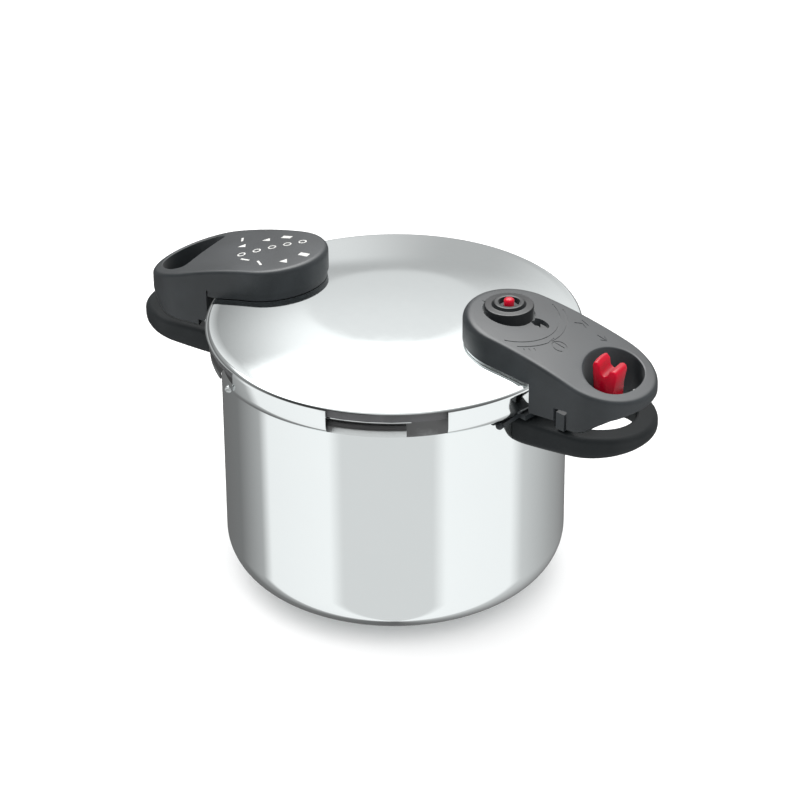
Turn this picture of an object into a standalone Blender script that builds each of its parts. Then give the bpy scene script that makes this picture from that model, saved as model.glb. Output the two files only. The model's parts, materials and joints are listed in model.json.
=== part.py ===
"""Stainless steel pressure cooker with a five-lug bayonet lid and two pairs of side handles.

The lid turns on the vertical axis of the pot and lifts off.  The right-hand lid handle holds
the steam selector, the pressure indicator, the safety valve and the sliding lid lock.

+X runs along the handles towards the valve handle, +Z is up, and the origin is the centre of
the base.  Sizes below are in millimetres and angles in degrees; the helpers scale to metres.
"""
import math

import bmesh
import bpy
from mathutils import Vector

MM = 0.001
GAP = 0.3
MERGE = 0.00001

# Pot
POT_RADIUS = 111.5
POT_WALL = 1.5
POT_CORNER = 25.0
POT_FLOOR_Z = 6.3
RIM_Z = 171.5
FLANGE = 1.5
NOTCH_RADIUS = 113.2
BASE_RADIUS = 86.0
BASE_HEIGHT = 6.0

# Bayonet: pot lugs, and the lid tongues that turn in under them
LUGS = 5
LUG_PITCH = 360.0 / LUGS
LUG_RADIUS = 116.9
LUG_START = -84.0
LUG_END = -54.0
TONGUE_START = -79.5
TONGUE_END = -55.5
WINDOW_END = -43.3
TONGUE_INNER = 114.1
TONGUE_OUTER = 116.6
TONGUE_LOW = 161.6
TONGUE_HIGH = 168.6

# Lid
LID_RADIUS = 121.5
LID_APEX = 192.0
LID_RIM_Z = 179.9
LID_DOME_RADIUS = 119.5
LID_SHEET = 1.3
SKIRT_LIP_RADIUS = 118.7
SKIRT_LOW = 161.0
WINDOW_TOP = 177.4

# Handles
WALL_LOW = 157.0
POT_HANDLE_TOP = 156.5
POT_HANDLE_LOW = 137.0
POT_HANDLE_TIP = 186.0
HOOK_SLOPE = 0.45
SCREW_SHANK = 1.8
SCREW_REACH = 13.0
LID_SCREWS = ((98.0, -20.0), (-70.0, 0.0), (-100.0, 0.0))
POT_SCREW_X = 121.0
POT_SCREW_YS = (-8.0, 8.0)
RIGHT_OUTLINE = (90.0, 34.3, 148.5, 36.5)
LEFT_OUTLINE = (89.0, 34.3, 142.0, 36.8)
RIGHT_LIFT = 2.6
LEFT_LIFT = 5.0
RIGHT_LEG = 123.2
LEFT_LEG = 125.5
PLATE_TO_LEG = 0.6
TOP_BEND_START = 83.0
TOP_BEND_END = 150.0
RIGHT_PLATE = 1.9
LEFT_PLATE = 4.3

# Steam selector and pressure indicator
VALVE_X = 84.0
KNOB_TOP = 215.0
KNOB_LOW = 204.4
KNOB_RADIUS = 15.8
WELL_RADIUS = 16.6
VALVE_PORT = 6.0

# Safety valve
SAFETY_X = 102.0
SAFETY_Y = 3.0
SAFETY_PORT = 4.6
OUTLET_X = 105.0
OUTLET_Y = 2.2

# Lid lock, closing stop and the keeper's path under the valve handle
JAW_X = 124.0
JAW_THICK = 2.4
KEEPER_X = 127.6
PATH_INNER = 121.0
PATH_OUTER = 140.6
PATH_START = -30.0
STOP_OUTER = 149.6
BUTTON_IN = 146.5
BUTTON_OUT = 164.5
THUMB_X = 158.5

TURN_STEPS = 48


# ---------------------------------------------------------------- scene helpers

def clear_scene():
    for item in list(bpy.data.objects):
        bpy.data.objects.remove(item, do_unlink=True)


def new_collection(name):
    group = bpy.data.collections.new(name)
    bpy.context.scene.collection.children.link(group)
    return group


clear_scene()
PARTS = new_collection("pressure_cooker")
CUTTERS = new_collection("cutters")


def material(name, colour, roughness, metallic=0.0):
    made = bpy.data.materials.new(name)
    made.use_nodes = True
    shader = made.node_tree.nodes["Principled BSDF"]
    shader.inputs["Base Color"].default_value = (*colour, 1.0)
    shader.inputs["Roughness"].default_value = roughness
    shader.inputs["Metallic"].default_value = metallic
    return made


STEEL = material("polished_steel", (0.78, 0.79, 0.80), 0.12, 1.0)
SATIN = material("satin_steel", (0.62, 0.63, 0.64), 0.35, 1.0)
ALUMINIUM = material("aluminium", (0.72, 0.72, 0.73), 0.4, 1.0)
BLACK = material("black_plastic", (0.03, 0.033, 0.036), 0.42)
RED = material("red_plastic", (0.72, 0.01, 0.05), 0.25)
SILICONE = material("grey_silicone", (0.08, 0.08, 0.085), 0.6)


def place(made, name, finish):
    """Put a part in the parts collection under its own name."""
    made.name = name
    made.data.name = name
    PARTS.objects.link(made)
    made.data.materials.clear()
    made.data.materials.append(finish)
    return made


def as_cutter(made):
    made.hide_render = True
    made.display_type = "WIRE"
    CUTTERS.objects.link(made)
    return made


def smooth(made, angle=35.0):
    made.data.shade_smooth()
    made.data.set_sharp_from_angle(angle=math.radians(angle))
    return made


# ---------------------------------------------------------------- shape helpers

def turned(name, profile, x=0.0, y=0.0, steps=TURN_STEPS, closed=True):
    """Turn a profile of (radius, height) points, outer side first, about a vertical axis."""
    mesh = bpy.data.meshes.new(name)
    points = [(radius * MM, 0.0, height * MM) for radius, height in profile]
    edges = [(i, i + 1) for i in range(len(points) - 1)]
    if closed:
        edges.append((len(points) - 1, 0))
    mesh.from_pydata(points, edges, [])
    made = bpy.data.objects.new(name, mesh)
    made.location = (x * MM, y * MM, 0.0)
    screw = made.modifiers.new("turn", "SCREW")
    screw.angle = math.tau
    screw.steps = steps
    screw.render_steps = steps
    screw.use_merge_vertices = True
    screw.merge_threshold = MERGE
    screw.use_smooth_shade = True
    return made


def solid_mesh(name, build):
    """A closed mesh made by build(bm), its faces turned outwards."""
    bm = bmesh.new()
    build(bm)
    bmesh.ops.remove_doubles(bm, verts=bm.verts, dist=MERGE)
    bmesh.ops.recalc_face_normals(bm, faces=bm.faces)
    mesh = bpy.data.meshes.new(name)
    bm.to_mesh(mesh)
    bm.free()
    return bpy.data.objects.new(name, mesh)


def box(name, low, high):
    """A box between two corners."""
    def build(bm):
        bmesh.ops.create_cube(bm, size=1.0)
        for vert in bm.verts:
            for axis in range(3):
                centre = (low[axis] + high[axis]) / 2
                vert.co[axis] = (centre + vert.co[axis] * (high[axis] - low[axis])) * MM
    return solid_mesh(name, build)


def prism(name, outline, low, high, plane="XY"):
    """Extrude a closed outline upwards, or along Y where its points are (x, z)."""
    def build(bm):
        if plane == "XY":
            start = [bm.verts.new((a * MM, b * MM, low * MM)) for a, b in outline]
            travel = Vector((0, 0, (high - low) * MM))
        else:
            start = [bm.verts.new((a * MM, low * MM, b * MM)) for a, b in outline]
            travel = Vector((0, (high - low) * MM, 0))
        face = bm.faces.new(start)
        grown = bmesh.ops.extrude_face_region(bm, geom=[face])
        moved = [item for item in grown["geom"] if isinstance(item, bmesh.types.BMVert)]
        bmesh.ops.translate(bm, verts=moved, vec=travel)
    return solid_mesh(name, build)


def cylinder(name, x, y, radius, low, high, sides=32):
    outline = arc(x, y, radius, 0.0, 360.0 - 360.0 / sides, sides - 1)
    return prism(name, outline, low, high)


def arc(x, y, radius, start, end, steps):
    """Points on an arc about (x, y), from one angle to another."""
    angles = [math.radians(start + (end - start) * i / steps) for i in range(steps + 1)]
    return [(x + radius * math.cos(a), y + radius * math.sin(a)) for a in angles]


def sector(name, inner, outer, start, end, low, high, steps=None):
    """A block bent about the pot's axis."""
    steps = steps or max(2, int(abs(end - start) / 3))
    outline = arc(0, 0, outer, start, end, steps) + arc(0, 0, inner, end, start, steps)
    return prism(name, outline, low, high)


def stadium(inner_x, inner_radius, outer_x, outer_radius, steps=12):
    """The outline round two circles on the X axis, the outer one at the handle's tip."""
    lean = math.degrees(math.asin((outer_radius - inner_radius) / (outer_x - inner_x)))
    tip = arc(outer_x, 0, outer_radius, -90 - lean, 90 + lean, steps)
    root = arc(inner_x, 0, inner_radius, 90 + lean, 270 - lean, steps)
    return tip + root


def ellipse(x, y, half_x, half_y, steps=24):
    angles = [math.tau * i / steps for i in range(steps)]
    return [(x + half_x * math.cos(a), y + half_y * math.sin(a)) for a in angles]


def flipped(outline):
    """The same outline on the other side of the pot."""
    return [(-x, y) for x, y in outline]


def combine(made, other, operation="DIFFERENCE"):
    """Cut, join or intersect a part with another solid."""
    as_cutter(other)
    step = made.modifiers.new(other.name, "BOOLEAN")
    step.operation = operation
    step.object = other
    step.solver = "EXACT"
    return made


def round_edges(made, width, segments=2, angle=40.0):
    bevel = made.modifiers.new("round", "BEVEL")
    bevel.width = width * MM
    bevel.segments = segments
    bevel.limit_method = "ANGLE"
    bevel.angle_limit = math.radians(angle)
    bevel.use_clamp_overlap = True
    bevel.miter_outer = "MITER_ARC"
    return made


def coil(name, x, y, radius, wire, low, high, turns, finish):
    """A compression spring as one round wire with closed ends."""
    per_turn = 10
    count = turns * per_turn
    data = bpy.data.curves.new(name, "CURVE")
    data.dimensions = "3D"
    data.bevel_depth = wire * MM
    data.bevel_resolution = 1
    data.use_fill_caps = True
    line = data.splines.new("POLY")
    line.points.add(count)
    for i, point in enumerate(line.points):
        angle = math.tau * i / per_turn
        share = i / count
        height = low + wire + (high - low - 2 * wire) * share
        px = x + radius * math.cos(angle)
        py = y + radius * math.sin(angle)
        point.co = (px * MM, py * MM, height * MM, 1.0)
    return place(bpy.data.objects.new(name, data), name, finish)


# ---------------------------------------------------------------- lid surface

def lid_top(radius):
    """Height of the lid's outer surface at a distance from the axis."""
    reach = min(radius, LID_DOME_RADIUS) / LID_DOME_RADIUS
    return LID_RIM_Z + (LID_APEX - LID_RIM_Z) * (1.0 - reach * reach)


def lid_under(radius):
    return lid_top(radius) - LID_SHEET


def dome_points(lift, reach, steps=6):
    """Points on the lid's dome raised by lift, from the axis out to reach."""
    return [(reach * i / steps, lid_top(reach * i / steps) + lift) for i in range(steps + 1)]


def lid_envelope(name, lift, reach):
    """The space under a surface that follows the lid, out to a radius."""
    profile = dome_points(lift, LID_DOME_RADIUS)
    profile += [(reach, lid_top(LID_DOME_RADIUS) + lift), (reach, 140.0), (0.0, 140.0)]
    return turned(name, profile, closed=False)


# ---------------------------------------------------------------- pot

def pot_body():
    """Deep pot with an outward flange that is notched into five lugs."""
    corner_x = POT_RADIUS - POT_CORNER
    corner_z = POT_FLOOR_Z + POT_CORNER
    inner = POT_CORNER - POT_WALL
    outer_arc = arc(corner_x, corner_z, POT_CORNER, 0, -90, 6)
    inner_arc = arc(corner_x, corner_z, inner, -90, 0, 6)
    floor = [(0.0, POT_FLOOR_Z), (0.0, POT_FLOOR_Z + POT_WALL)]
    low = RIM_Z - FLANGE
    profile = [(LUG_RADIUS, RIM_Z), (LUG_RADIUS, low), (POT_RADIUS + 0.8, low)]
    profile += [(POT_RADIUS, low - 1.0)] + outer_arc + floor + inner_arc
    profile += [(POT_RADIUS - POT_WALL, low), (POT_RADIUS - 0.8, RIM_Z)]
    made = turned("pot_body", profile)
    for i in range(LUGS):
        start = LUG_END + i * LUG_PITCH
        end = LUG_START + (i + 1) * LUG_PITCH
        notch = sector(f"lug_notch_{i}", NOTCH_RADIUS, 125.0, start, end, low - 3, RIM_Z + 3)
        combine(made, notch)
    return place(made, "pot_body", STEEL)


def base_core():
    """Aluminium heat-spreading disc inside the base."""
    radius = BASE_RADIUS - 2.2
    profile = [(0, BASE_HEIGHT - 0.1), (radius, BASE_HEIGHT - 0.1), (radius, 1.2), (0, 1.2)]
    place(turned("base_core", profile, closed=False), "base_core", ALUMINIUM)


def base_cap():
    """Shallow steel cup that closes the base and is the surface it stands on."""
    sheet = 0.8
    corner = arc(BASE_RADIUS - 2, 2, 2, 0, -90, 2)
    profile = [(BASE_RADIUS, BASE_HEIGHT)] + corner
    profile += [(0, 0), (0, sheet), (BASE_RADIUS - 2, sheet)]
    profile += [(BASE_RADIUS - sheet, 2), (BASE_RADIUS - sheet, BASE_HEIGHT)]
    place(turned("base_cap", profile), "base_cap", STEEL)


def pot_handle(side):
    """Loop handle under the lid handle; side is +1 for the valve side and -1 for the other."""
    name = "pot_handle_right" if side > 0 else "pot_handle_left"
    tip = 37.0
    outline = stadium(116.0, 36.0, POT_HANDLE_TIP - tip, tip)
    low = POT_HANDLE_LOW
    top = POT_HANDLE_TOP
    silhouette = [(100, top), (158, top), (172, top - 1.2), (POT_HANDLE_TIP + 1, top - 5.5)]
    silhouette += [(POT_HANDLE_TIP + 1, low + 9), (174, low + 5.5), (150, low + 2.5)]
    silhouette += [(125, low + 0.8), (100, low)]
    hole_tip = arc(149, 0, 23, -90, 90, 10)
    hole = hole_tip + arc(134, 19, 4, 90, 180, 2) + arc(134, -19, 4, 180, 270, 2)
    if side < 0:
        outline = flipped(outline)
        silhouette = flipped(silhouette)
        hole = flipped(hole)
    made = prism(name, outline, low - 5, top + 5)
    combine(made, prism(f"{name}_side", silhouette, -60, 60, "XZ"), "INTERSECT")
    combine(made, prism(f"{name}_grip", hole, low - 9, top + 9))
    round_edges(made, 3.0)
    combine(made, cylinder(f"{name}_pot", 0, 0, POT_RADIUS + GAP, 120, 170, TURN_STEPS * 2))
    middle = 0.0 if side > 0 else 180.0
    pocket = sector(f"{name}_pocket", 108, 113.8, middle - 8.6, middle + 8.6, 141.7, 154.3)
    combine(made, pocket)
    tab = ordered_box(f"{name}_tab_slot", side, (110, 129), (-13.3, 13.3), (146.2, 148.4))
    combine(made, tab)
    for y in POT_SCREW_YS:
        hole_x = POT_SCREW_X * side
        combine(made, cylinder(f"{name}_hole_{y}", hole_x, y, SCREW_SHANK + GAP, 130, 153.3, 16))
        combine(made, cylinder(f"{name}_sink_{y}", hole_x, y, 4.3, 130, 140.7, 20))
    return place(smooth(made), name, BLACK)


def ordered_box(name, side, x_range, y_range, z_range):
    """A box whose X range is measured outwards on either side of the pot."""
    xs = sorted((x_range[0] * side, x_range[1] * side))
    return box(name, (xs[0], y_range[0], z_range[0]), (xs[1], y_range[1], z_range[1]))


def pot_bracket(side):
    """Steel bracket welded to the pot wall, with a tab that the handle slides over."""
    name = "pot_bracket_right" if side > 0 else "pot_bracket_left"
    middle = 0.0 if side > 0 else 180.0
    made = sector(name, POT_RADIUS + GAP, 113.4, middle - 8.2, middle + 8.2, 142.0, 154.0, 8)
    tab = ordered_box(f"{name}_tab", side, (112.6, 128.6), (-13, 13), (146.5, 148.1))
    combine(made, tab, "UNION")
    for y in POT_SCREW_YS:
        combine(made, cylinder(f"{name}_hole_{y}", POT_SCREW_X * side, y, SCREW_SHANK + GAP, 140, 150, 16))
    return place(made, name, SATIN)


def pot_screws(side):
    """Two screws from below that pin each pot handle to its bracket."""
    word = "right" if side > 0 else "left"
    for number, y in enumerate(POT_SCREW_YS, start=1):
        profile = [(0, 153.0), (SCREW_SHANK, 153.0), (SCREW_SHANK, 140.4), (3.9, 140.4)]
        profile += [(3.9, 139.2), (2.8, 138.2), (0, 138.2)]
        name = f"pot_handle_screw_{word}_{number}"
        place(turned(name, profile, POT_SCREW_X * side, y, 12, closed=False), name, SATIN)


def lid_guide_hook():
    """Black finger beside the valve handle that guides the lid's skirt as it turns."""
    root = -17.0
    tip = -24.5
    made = sector("lid_guide_hook", 112.2, 122.3, root - 0.5, -10.0, POT_HANDLE_TOP + GAP, 160.2)
    finger = sector("hook_finger", 113.0, 116.6, tip, root + 1.0, 156.9, 160.0, 4)
    for vert in finger.data.vertices:
        angle = math.degrees(math.atan2(vert.co.y, vert.co.x))
        vert.co.z -= HOOK_SLOPE * max(0.0, root - angle) * MM
    combine(made, finger, "UNION")
    x = 114.8 * math.cos(math.radians(tip))
    y = 114.8 * math.sin(math.radians(tip))
    combine(made, ball("hook_tip", x, y, 158.5 - HOOK_SLOPE * (root - tip), 2.7), "UNION")
    return place(smooth(made), "lid_guide_hook", BLACK)


def ball(name, x, y, z, radius):
    def build(bm):
        bmesh.ops.create_uvsphere(bm, u_segments=10, v_segments=6, radius=radius * MM)
        bmesh.ops.translate(bm, verts=bm.verts, vec=Vector((x, y, z)) * MM)
    return solid_mesh(name, build)


def closing_stop():
    """Post on the pot handle that the closing lid handle runs up against."""
    made = sector("closing_stop", 141.6, 148.4, -14.4, -11.4, POT_HANDLE_TOP + GAP, 168.5, 3)
    place(made, "closing_stop", BLACK)


def lock_keeper():
    """Forked steel plate on the pot handle that the lid lock hooks into."""
    made = box("lock_keeper", (KEEPER_X, -9, POT_HANDLE_TOP + GAP), (138.0, 9, 158.2))
    for y in (-7.4, 3.6):
        post = box(f"keeper_post_{y}", (KEEPER_X, y, 157.5), (134.0, y + 3.8, 161.9))
        combine(made, post, "UNION")
    return place(made, "lock_keeper", SATIN)


# ---------------------------------------------------------------- lid

def gasket():
    """Silicone sealing ring between the pot's flange and the lid."""
    profile = [(119.5, 177.4), (119.5, 172.4), (118.8, 171.8), (110.8, 171.8)]
    profile += [(110.2, 172.6), (110.2, 176.0), (114.4, 174.8), (114.4, 178.4), (118.6, 178.2)]
    place(turned("gasket", profile), "gasket", SILICONE)


def lid_shell():
    """Domed lid with a skirt whose windows leave five tongues that lock under the lugs."""
    edge = arc(LID_DOME_RADIUS, 177.9, LID_RADIUS - LID_DOME_RADIUS, 90, 0, 4)
    inner_skirt = LID_RADIUS - 1.2
    profile = dome_points(0.0, LID_DOME_RADIUS)[:-1] + edge
    profile += [(LID_RADIUS, 167.0), (120.9, 164.0), (SKIRT_LIP_RADIUS, SKIRT_LOW)]
    profile += [(SKIRT_LIP_RADIUS - 1.2, SKIRT_LOW), (119.6, 164.4), (inner_skirt, 167.2)]
    profile += [(inner_skirt, 177.9), (LID_DOME_RADIUS - 0.4, lid_under(LID_DOME_RADIUS))]
    profile += [(r, z) for r, z in reversed(dome_points(-LID_SHEET, LID_DOME_RADIUS - 3))]
    made = turned("lid_shell", profile, closed=False)
    for i in range(LUGS):
        turn = i * LUG_PITCH
        window = sector(f"window_{i}", 115.5, 126, TONGUE_START + turn, WINDOW_END + turn,
                        SKIRT_LOW - 3, WINDOW_TOP)
        combine(made, window)
    for i in range(LUGS):
        turn = i * LUG_PITCH
        tongue = sector(f"tongue_{i}", TONGUE_INNER, TONGUE_OUTER, TONGUE_START - 2.7 + turn,
                        TONGUE_END + turn, TONGUE_LOW, TONGUE_HIGH)
        root = sector(f"tongue_root_{i}", TONGUE_INNER, 120.6, TONGUE_START - 2.7 + turn,
                      TONGUE_START + 0.4 + turn, TONGUE_LOW, TONGUE_HIGH)
        combine(made, tongue, "UNION")
        combine(made, root, "UNION")
    combine(made, cylinder("valve_port", VALVE_X, 0, VALVE_PORT, 170, 200, 24))
    combine(made, cylinder("safety_port", SAFETY_X, SAFETY_Y, SAFETY_PORT, 170, 200, 24))
    for x, y in LID_SCREWS:
        combine(made, cylinder(f"screw_port_{x}", x, y, SCREW_SHANK + GAP, 170, 200, 16))
    return place(made, "lid_shell", STEEL)


def lid_stop_stud():
    """Small domed stud pressed into the skirt beside a window."""
    angle = math.radians(-117.0)
    radius = 122.4
    x = radius * math.cos(angle)
    y = radius * math.sin(angle)
    made = ball("lid_stop_stud", x, y, 166.0, 2.6)
    combine(made, cylinder("stud_skirt", 0, 0, LID_RADIUS + GAP, 160, 175, TURN_STEPS * 2))
    place(smooth(made), "lid_stop_stud", SATIN)


def lid_screws():
    """Screws from under the lid that hold the lid handles."""
    for number, (x, y) in enumerate(LID_SCREWS, start=1):
        head = lid_under(math.hypot(x, y) + 4.2) - GAP
        top = lid_top(math.hypot(x, y)) + SCREW_REACH
        profile = [(0, top), (SCREW_SHANK, top), (SCREW_SHANK, head), (4.2, head)]
        profile += [(4.2, head - 1.4), (3.0, head - 2.2), (0, head - 2.2)]
        name = f"lid_handle_screw_{number}"
        place(turned(name, profile, x, y, 12, closed=False), name, SATIN)


# ---------------------------------------------------------------- lid handles

def valve_handle_top(x):
    bend = min(x, TOP_BEND_END) - TOP_BEND_START
    return 208.5 - 0.164 * bend - 0.0017 * bend ** 2 - 0.35 * max(0.0, x - TOP_BEND_END)


def plain_handle_top(x):
    return 208.1 - 0.147 * (x - 83.0) - 0.0018 * (x - 83.0) ** 2


def handle_silhouette(top, start, end, crown, sink=0.0):
    """Side view of a lid handle: a rounded inner end, the sloping top and the raised tip."""
    shoulder = top(start + crown)
    side = [(start - 1, shoulder - crown - sink)]
    for step in range(5):
        angle = math.radians(90.0 * step / 4)
        x = start + crown - crown * math.cos(angle)
        side.append((x, shoulder - crown + crown * math.sin(angle) - sink))
    steps = 8
    for step in range(1, steps + 1):
        x = start + crown + (end + 1 - start - crown) * step / steps
        side.append((x, top(x) - sink))
    return side


def tip_underside(tip_rise):
    """The underside that lifts away from the pot handle towards the tip."""
    rise = [(190.0, WALL_LOW + tip_rise), (171.0, WALL_LOW + 10.0), (163.0, WALL_LOW + 6.0)]
    return rise + [(157.0, WALL_LOW + 1.5), (152.0, WALL_LOW)]


def lid_handle(name, side, outline, top, tip_rise, crown, lift, leg_radius, hole):
    """Hollow lid handle: a pod on the lid, a leg outside the rim and a looped tip."""
    start = outline[0] - outline[1]
    end = outline[2] + outline[3]
    silhouette = handle_silhouette(top, start, end, crown) + tip_underside(tip_rise)
    silhouette += [(start - 1, WALL_LOW)]
    pod = stadium(outline[0], outline[1] - 3.2, outline[2], outline[3] - 3.2)
    hollow = handle_silhouette(top, start + 3.2, 119.0, crown, 3.4) + [(120.0, 160.0)]
    hollow += [(start + 2.2, 160.0)]
    plan = stadium(*outline)
    if side < 0:
        plan, pod = flipped(plan), flipped(pod)
        silhouette, hollow, hole = flipped(silhouette), flipped(hollow), flipped(hole)
    made = prism(name, plan, WALL_LOW - 5, 225)
    combine(made, prism(f"{name}_side", silhouette, -60, 60, "XZ"), "INTERSECT")
    combine(made, prism(f"{name}_loop", hole, 140, 230))
    round_edges(made, 2.6)
    combine(made, lid_envelope(f"{name}_lid", lift, leg_radius))
    inside = prism(f"{name}_pod", pod, 150, 222)
    combine(inside, prism(f"{name}_pod_side", hollow, -60, 60, "XZ"), "INTERSECT")
    combine(made, inside)
    return made


def screw_boss(made, x, y, low, high):
    """A boss under the roof of a lid handle, bored for its screw."""
    bore_top = lid_top(math.hypot(x, y)) + SCREW_REACH + 0.6
    combine(made, cylinder(f"boss_{x}", x, y, 5.0, low, high, 20), "UNION")
    combine(made, cylinder(f"boss_bore_{x}", x, y, SCREW_SHANK + GAP, 170, bore_top, 16))


def valve_handle():
    """Lid handle that holds the valves and the lid lock."""
    name = "lid_handle_right"
    hole = ellipse(THUMB_X, 0, 18.0, 25.5)
    made = lid_handle(name, 1, RIGHT_OUTLINE, valve_handle_top, 14.0, 8.0, RIGHT_LIFT, RIGHT_LEG, hole)
    combine(made, cylinder("selector_boss", VALVE_X, 0, 20.0, 198.6, 204.0, 32), "UNION")
    combine(made, cylinder("selector_well", VALVE_X, 0, WELL_RADIUS, KNOB_LOW - 0.8, 225, 32))
    combine(made, cylinder("selector_bore", VALVE_X, 0, 7.2, 190, 225, 20))
    combine(made, prism("steam_outlet", ellipse(OUTLET_X, OUTLET_Y, 6.2, 4.4, 20), 190, 225))
    screw_x, screw_y = LID_SCREWS[0]
    screw_boss(made, screw_x, screw_y, 187.6, valve_handle_top(screw_x) - 2.2)
    combine(made, sector("keeper_path", PATH_INNER, PATH_OUTER, PATH_START, 6.5, 150, 162.2))
    combine(made, sector("stop_notch", PATH_OUTER, STOP_OUTER, PATH_START, -10.8, 150, 171.0))
    combine(made, box("lock_channel", (120, -4.2, 150), (146, 4.2, 165.2)))
    combine(made, box("detent_pocket", (129.0, -3.4, 160), (140.5, 3.4, 168.2)))
    return place(smooth(made), name, BLACK)


def plain_handle():
    """Lid handle without valves, with a slot behind its tip."""
    name = "lid_handle_left"
    slot = arc(145, 0, 27.5, -75, 75, 12) + arc(149, 22, 4, 100, 180, 2) + arc(149, -22, 4, 180, 260, 2)
    made = lid_handle(name, -1, LEFT_OUTLINE, plain_handle_top, 4.0, 5.0, LEFT_LIFT, LEFT_LEG, slot)
    for x, y in LID_SCREWS[1:]:
        screw_boss(made, x, y, lid_top(abs(x)) + LEFT_LIFT + 0.6, plain_handle_top(abs(x)) - 1.6)
    combine(made, sector("leg_relief", 121, 132, 190, 215, 150, 162.0))
    return place(smooth(made), name, BLACK)


def handle_base(name, side, outline, thickness, leg_radius, finish):
    """Plate between a lid handle and the lid, shaped to the dome."""
    inset = 0.9
    plan = stadium(outline[0], outline[1] - inset, outline[2], outline[3] - inset)
    if side < 0:
        plan = flipped(plan)
    made = prism(name, plan, 150, 210)
    reach = leg_radius - PLATE_TO_LEG
    rim = lid_top(LID_DOME_RADIUS) + GAP
    shell = dome_points(GAP + thickness, LID_DOME_RADIUS) + [(reach, rim + thickness), (reach, rim)]
    shell += [(r, z) for r, z in reversed(dome_points(GAP, LID_DOME_RADIUS))]
    combine(made, turned(f"{name}_dome", shell, closed=False), "INTERSECT")
    if side > 0:
        combine(made, cylinder(f"{name}_valve", VALVE_X, 0, 12.0, 170, 210, 32))
        combine(made, cylinder(f"{name}_safety", SAFETY_X, SAFETY_Y, 6.4, 170, 210, 24))
    for x, y in LID_SCREWS:
        if x * side > 0:
            combine(made, cylinder(f"{name}_hole_{x}", x, y, SCREW_SHANK + GAP, 170, 210, 16))
    return place(smooth(made), name, finish)


# ---------------------------------------------------------------- steam selector

def valve_body():
    """Steel valve stem through the lid, with a chamber for the indicator's spring."""
    profile = [(6.2, 209.4), (6.2, 197.0), (5.4, 195.0), (5.4, 192.5), (11.0, 191.5)]
    profile += [(11.0, 189.4), (5.6, 189.4), (5.6, 176.5), (2.4, 176.5), (2.4, 195.6)]
    profile += [(4.4, 195.6), (4.4, 208.2), (3.7, 208.2), (3.7, 209.4)]
    place(turned("valve_body", profile, VALVE_X, 0, 20), "valve_body", SATIN)


def valve_washer():
    """Silicone washer between the valve body and the lid."""
    made = turned("valve_washer", [(10.4, 189.1), (10.4, 180.0), (6.0, 180.0), (6.0, 189.1)],
                  VALVE_X, 0, 20)
    combine(made, lid_envelope("washer_lid", 0.15, 125))
    place(made, "valve_washer", SILICONE)


def hex_nut(name, x, y, across, bore, low, high):
    made = cylinder(name, x, y, across / 2 / math.cos(math.radians(30)), low, high, 6)
    combine(made, cylinder(f"{name}_bore", x, y, bore, low - 5, high + 5, 24))
    return place(made, name, SATIN)


def selector_knob():
    """Round selector knob with a recess for the indicator."""
    profile = [(10.0, KNOB_TOP), (11.0, KNOB_TOP - 1.2), (14.9, KNOB_TOP - 1.8)]
    profile += [(KNOB_RADIUS, KNOB_TOP - 2.8), (KNOB_RADIUS, KNOB_LOW), (6.6, KNOB_LOW), (6.6, 209.8)]
    profile += [(3.8, 209.8), (3.8, 211.6), (6.2, 211.6), (6.5, KNOB_TOP - 0.6), (7.3, KNOB_TOP)]
    made = turned("selector_knob", profile, VALVE_X, 0, 28)
    place(made, "selector_knob", BLACK)


def pressure_indicator():
    """Red pin that rises through the knob under pressure."""
    dome = [(3.3 * math.sin(math.radians(a)), 215.8 + 1.8 * math.cos(math.radians(a)))
            for a in (0, 30, 60, 90)]
    profile = dome + [(3.3, 209.8), (1.6, 208.4), (1.6, 198.2), (3.9, 198.2), (3.9, 196.6)]
    profile += [(1.6, 196.6), (1.6, 180.5), (0, 180.5)]
    made = turned("pressure_indicator", profile, VALVE_X, 0, 14, closed=False)
    place(made, "pressure_indicator", RED)


# ---------------------------------------------------------------- safety valve

def safety_body():
    """Steel body of the safety valve, screwed through the lid."""
    profile = [(5.2, 197.0), (5.2, 187.6), (5.9, 187.0), (5.9, 185.2), (4.2, 185.2)]
    profile += [(4.2, 175.0), (1.8, 175.0), (1.8, 187.0), (4.3, 187.0), (4.3, 195.8)]
    profile += [(2.3, 195.8), (2.3, 197.0)]
    place(turned("safety_valve_body", profile, SAFETY_X, SAFETY_Y, 16), "safety_valve_body", SATIN)


def safety_plunger():
    """Plunger that lifts against its spring if the selector is blocked."""
    profile = [(0, 200.2), (1.9, 200.2), (1.9, 188.9), (3.9, 188.9), (3.9, 187.3), (0, 187.3)]
    made = turned("safety_plunger", profile, SAFETY_X, SAFETY_Y, 14, closed=False)
    place(made, "safety_plunger", SATIN)


# ---------------------------------------------------------------- lid lock

def lock_button():
    """Red saddle-shaped thumb slide."""
    middle = (BUTTON_IN + BUTTON_OUT) / 2
    side = [(BUTTON_IN + 1.5, 165.0), (BUTTON_OUT - 2.5, 165.0), (BUTTON_OUT - 1.5, 176.0)]
    side += [(BUTTON_OUT + 0.5, 187.5), (BUTTON_OUT - 1.5, 190.4), (BUTTON_OUT - 4.5, 189.8)]
    side += [(middle + 1.0, 184.6), (middle - 1.5, 184.8), (BUTTON_IN + 5.0, 192.0)]
    side += [(BUTTON_IN + 2.0, 194.4), (BUTTON_IN - 0.5, 192.0), (BUTTON_IN + 0.5, 178.0)]
    made = prism("lock_button", side, -7.6, 7.6, "XZ")
    round_edges(made, 1.2, 2, 20.0)
    place(smooth(made, 60), "lock_button", RED)


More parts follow.
